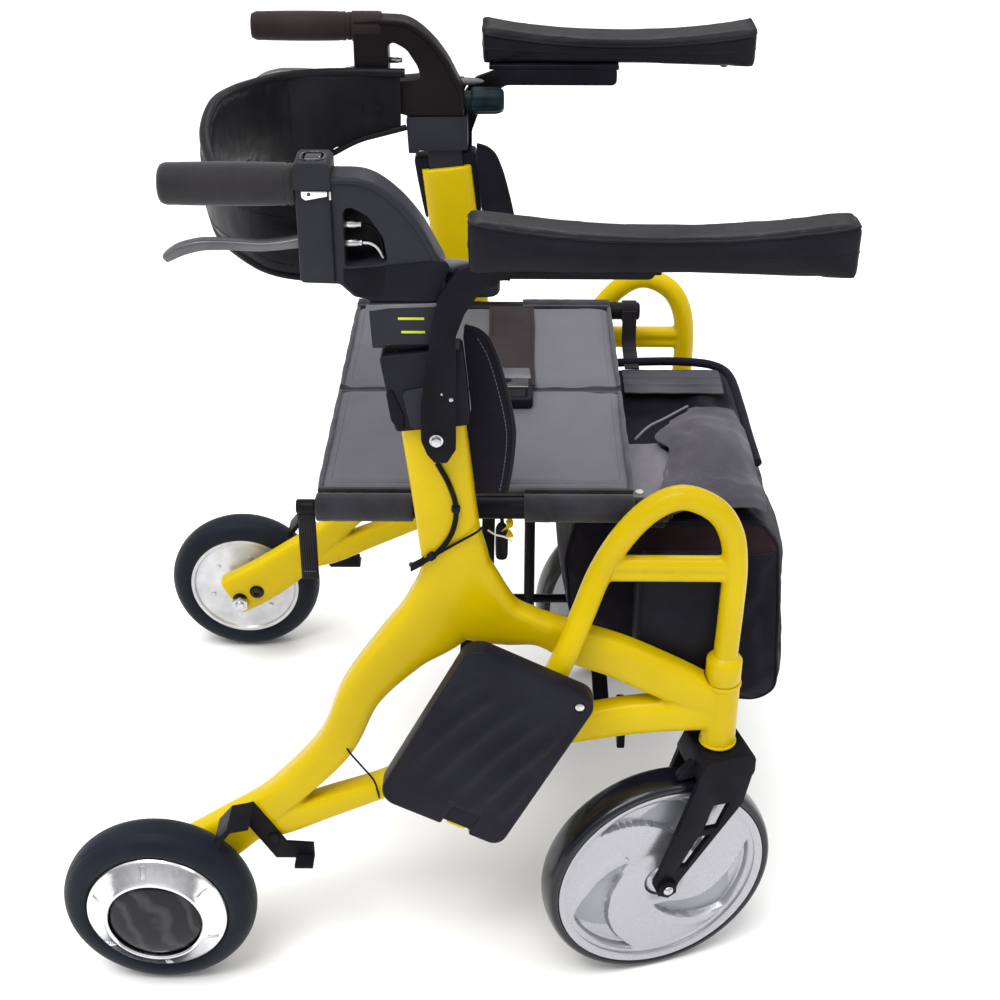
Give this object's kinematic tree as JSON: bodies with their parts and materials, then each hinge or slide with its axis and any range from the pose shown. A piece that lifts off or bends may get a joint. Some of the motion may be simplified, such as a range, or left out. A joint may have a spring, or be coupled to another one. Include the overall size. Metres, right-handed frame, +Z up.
{
  "type": "electric rollator",
  "caption": "Side-folding electric rollator with hub-motor rear wheels, front casters, sling seat, flip-up armrests, swing-away leg supports, backrest band and front bag.",
  "frame": {"origin": "middle of the overall box, on the floor under the wheels", "axes": "+X forwards, to the casters; +Y to the user's left; +Z up"},
  "size_m": [0.747, 0.6824, 0.8949],
  "materials": {
    "yellow_paint": "gloss powder coat",
    "tyre": "satin rubber",
    "silver_plastic": "silver metallic",
    "aluminium": "polished",
    "steel": "zinc plated",
    "grip_rubber": "matte",
    "leatherette": "grained",
    "seat_cloth": "coated nylon",
    "black_nylon": "woven",
    "lever_grey": "satin",
    "button_grey": "satin",
    "black_paint": "satin",
    "gloss_black": "gloss",
    "black_plastic": "fine texture"
  },
  "bodies": {
    "right_frame": {"right_side_frame": "yellow_paint", "right_seat_rail": "black_paint", "right_upright_sleeve": "black_plastic", "right_rear_axle": "steel", "right_side_guard": "black_nylon", "battery_pack": "black_plastic", "front_bag": "black_nylon", "fold_pull": "black_plastic", "corner_strap": "black_nylon", "brake_cable": "black_plastic"},
    "right_seat": {"right_seat_half": "seat_cloth", "right_lap_belt": "black_nylon", "belt_buckle": "black_plastic"},
    "left_seat": {"left_seat_half": "seat_cloth", "left_lap_belt": "black_nylon"},
    "left_frame": {"left_side_frame": "yellow_paint", "left_seat_rail": "black_paint", "left_upright_sleeve": "black_plastic", "left_rear_axle": "steel", "left_side_guard": "black_nylon"},
    "centre_rod": {"centre_rod": "black_paint"},
    "right_strut": {"right_strut": "black_paint"},
    "right_rear_wheel": {"right_rear_tyre": "tyre", "right_motor_hub": "aluminium", "right_hub_cap": "gloss_black"},
    "right_brake_arm": {"right_brake_arm": "black_paint"},
    "right_fork": {"right_caster_fork": "black_paint", "right_caster_axle": "steel"},
    "right_caster_wheel": {"right_caster_tyre": "tyre", "right_caster_rim": "silver_plastic"},
    "right_hanger": {"right_hanger": "yellow_paint"},
    "right_footplate": {"right_footplate": "black_plastic"},
    "right_handle": {"right_height_post": "black_plastic", "right_handle_body": "black_plastic", "right_grip": "grip_rubber", "backrest_band": "leatherette", "control_pod": "black_plastic"},
    "right_brake_lever": {"right_brake_lever": "lever_grey"},
    "right_clamp_knob": {"right_clamp_knob": "black_plastic"},
    "right_armrest": {"right_armrest_arm": "black_paint", "right_armrest_pad": "leatherette"},
    "left_strut": {"left_strut": "black_paint"},
    "left_rear_wheel": {"left_rear_tyre": "tyre", "left_motor_hub": "aluminium", "left_hub_cap": "gloss_black"},
    "left_brake_arm": {"left_brake_arm": "black_paint"},
    "left_fork": {"left_caster_fork": "black_paint", "left_caster_axle": "steel"},
    "left_caster_wheel": {"left_caster_tyre": "tyre", "left_caster_rim": "silver_plastic"},
    "left_hanger": {"left_hanger": "yellow_paint"},
    "left_footplate": {"left_footplate": "black_plastic"},
    "left_handle": {"left_height_post": "black_plastic", "left_handle_body": "black_plastic", "left_grip": "grip_rubber"},
    "left_brake_lever": {"left_brake_lever": "lever_grey"},
    "left_clamp_knob": {"left_clamp_knob": "black_plastic"},
    "left_armrest": {"left_armrest_arm": "black_paint", "left_armrest_pad": "leatherette"},
    "drive_button": {"drive_button": "button_grey"}
  },
  "joints": [
    {"name": "right_seat_hinge", "type": "hinge", "parent": "right_frame", "child": "right_seat", "pos_m": [0.0895, -0.232, 0.533], "axis": [1, 0, 0], "range_deg": [0, 70], "deforming": ["front_bag", "backrest_band"]},
    {"name": "seat_centre_hinge", "type": "hinge", "parent": "right_seat", "child": "left_seat", "pos_m": [0.0895, 0, 0.533], "axis": [1, 0, 0], "range_deg": [-140, 0]},
    {"name": "left_seat_hinge", "type": "hinge", "parent": "left_seat", "child": "left_frame", "pos_m": [0.0895, 0.232, 0.533], "axis": [1, 0, 0], "range_deg": [0, 70]},
    {"name": "centre_rod_hinge", "type": "hinge", "parent": "right_seat", "child": "centre_rod", "pos_m": [0.0895, 0, 0.533], "axis": [1, 0, 0], "range_deg": [-70, 0]},
    {"name": "right_strut_hinge", "type": "hinge", "parent": "right_frame", "child": "right_strut", "pos_m": [0.0895, -0.232, 0.275], "axis": [1, 0, 0], "range_deg": [0, 70]},
    {"name": "right_rear_wheel_spin", "type": "hinge", "parent": "right_frame", "child": "right_rear_wheel", "pos_m": [-0.2735, -0.3037, 0.1], "axis": [0, 1, 0], "continuous": true},
    {"name": "right_caster_swivel", "type": "hinge", "parent": "right_frame", "child": "right_fork", "pos_m": [0.298, -0.262, 0.265], "axis": [0, 0, 1], "continuous": true},
    {"name": "right_caster_spin", "type": "hinge", "parent": "right_fork", "child": "right_caster_wheel", "pos_m": [0.24301, -0.27881, 0.1237], "axis": [-0.2924, 0.9563, 0], "continuous": true},
    {"name": "right_hanger_swing", "type": "hinge", "parent": "right_frame", "child": "right_hanger", "pos_m": [0.298, -0.262, 0.3574], "axis": [0, 0, -1], "range_deg": [-180, 0]},
    {"name": "right_footplate_flip", "type": "hinge", "parent": "right_hanger", "child": "right_footplate", "pos_m": [0.039, -0.32825, 0.236], "axis": [0.887, 0, -0.4617], "range_deg": [0, 90]},
    {"name": "right_handle_slide", "type": "slide", "parent": "right_frame", "child": "right_handle", "axis": [-0.1097, 0, 0.994], "range_m": [0, 0.08]},
    {"name": "right_brake_lever_pull", "type": "hinge", "parent": "right_handle", "child": "right_brake_lever", "pos_m": [-0.0805, -0.264, 0.811], "axis": [0, 1, 0], "range_deg": [0, 11], "stiffness_Nm_per_rad": 1, "springref_deg": -2.86},
    {"name": "right_brake_arm_turn", "type": "hinge", "parent": "right_frame", "child": "right_brake_arm", "pos_m": [-0.1535, -0.2805, 0.166], "axis": [0, 1, 0], "range_deg": [-5, 0]},
    {"name": "right_clamp_knob_turn", "type": "hinge", "parent": "right_handle", "child": "right_clamp_knob", "pos_m": [0.0495, -0.264, 0.777], "axis": [1, 0, 0], "range_deg": [0, 180]},
    {"name": "right_armrest_flip", "type": "hinge", "parent": "right_frame", "child": "right_armrest", "pos_m": [0.0235, -0.2885, 0.637], "axis": [0, -1, 0], "range_deg": [0, 95]},
    {"name": "left_strut_hinge", "type": "hinge", "parent": "left_frame", "child": "left_strut", "pos_m": [0.0895, 0.232, 0.275], "axis": [1, 0, 0], "range_deg": [-70, 0]},
    {"name": "left_rear_wheel_spin", "type": "hinge", "parent": "left_frame", "child": "left_rear_wheel", "pos_m": [-0.2735, 0.3037, 0.1], "axis": [0, 1, 0], "continuous": true},
    {"name": "left_caster_swivel", "type": "hinge", "parent": "left_frame", "child": "left_fork", "pos_m": [0.298, 0.262, 0.265], "axis": [0, 0, 1], "continuous": true},
    {"name": "left_caster_spin", "type": "hinge", "parent": "left_fork", "child": "left_caster_wheel", "pos_m": [0.24301, 0.24519, 0.1237], "axis": [-0.2924, 0.9563, 0], "continuous": true},
    {"name": "left_hanger_swing", "type": "hinge", "parent": "left_frame", "child": "left_hanger", "pos_m": [0.298, 0.262, 0.3574], "axis": [0, 0, 1], "range_deg": [-180, 0]},
    {"name": "left_footplate_flip", "type": "hinge", "parent": "left_hanger", "child": "left_footplate", "pos_m": [0.039, 0.32825, 0.236], "axis": [-0.887, 0, 0.4617], "range_deg": [0, 90]},
    {"name": "left_handle_slide", "type": "slide", "parent": "left_frame", "child": "left_handle", "axis": [-0.1097, 0, 0.994], "range_m": [0, 0.08]},
    {"name": "left_brake_lever_pull", "type": "hinge", "parent": "left_handle", "child": "left_brake_lever", "pos_m": [-0.0805, 0.264, 0.811], "axis": [0, 1, 0], "range_deg": [0, 11], "stiffness_Nm_per_rad": 1, "springref_deg": -2.86},
    {"name": "left_brake_arm_turn", "type": "hinge", "parent": "left_frame", "child": "left_brake_arm", "pos_m": [-0.1535, 0.2805, 0.166], "axis": [0, 1, 0], "range_deg": [-5, 0]},
    {"name": "left_clamp_knob_turn", "type": "hinge", "parent": "left_handle", "child": "left_clamp_knob", "pos_m": [0.0495, 0.264, 0.777], "axis": [1, 0, 0], "range_deg": [0, 180]},
    {"name": "left_armrest_flip", "type": "hinge", "parent": "left_frame", "child": "left_armrest", "pos_m": [0.0235, 0.2885, 0.637], "axis": [0, -1, 0], "range_deg": [0, 95]},
    {"name": "drive_button_press", "type": "slide", "parent": "right_handle", "child": "drive_button", "axis": [0, 0, -1], "range_m": [0, 0.002], "stiffness_N_per_m": 300, "springref_m": -0.001}
  ],
  "couplings": [
    {"joint": "seat_centre_hinge", "follows": "right_seat_hinge", "ratio": -2},
    {"joint": "left_seat_hinge", "follows": "right_seat_hinge", "ratio": 1},
    {"joint": "centre_rod_hinge", "follows": "right_seat_hinge", "ratio": -1},
    {"joint": "right_strut_hinge", "follows": "right_seat_hinge", "ratio": 1},
    {"joint": "left_strut_hinge", "follows": "right_seat_hinge", "ratio": -1},
    {"joint": "right_brake_arm_turn", "follows": "right_brake_lever_pull", "ratio": -0.45},
    {"joint": "left_brake_arm_turn", "follows": "left_brake_lever_pull", "ratio": -0.45},
    {"joint": "left_handle_slide", "follows": "right_handle_slide", "ratio": 1}
  ]
}
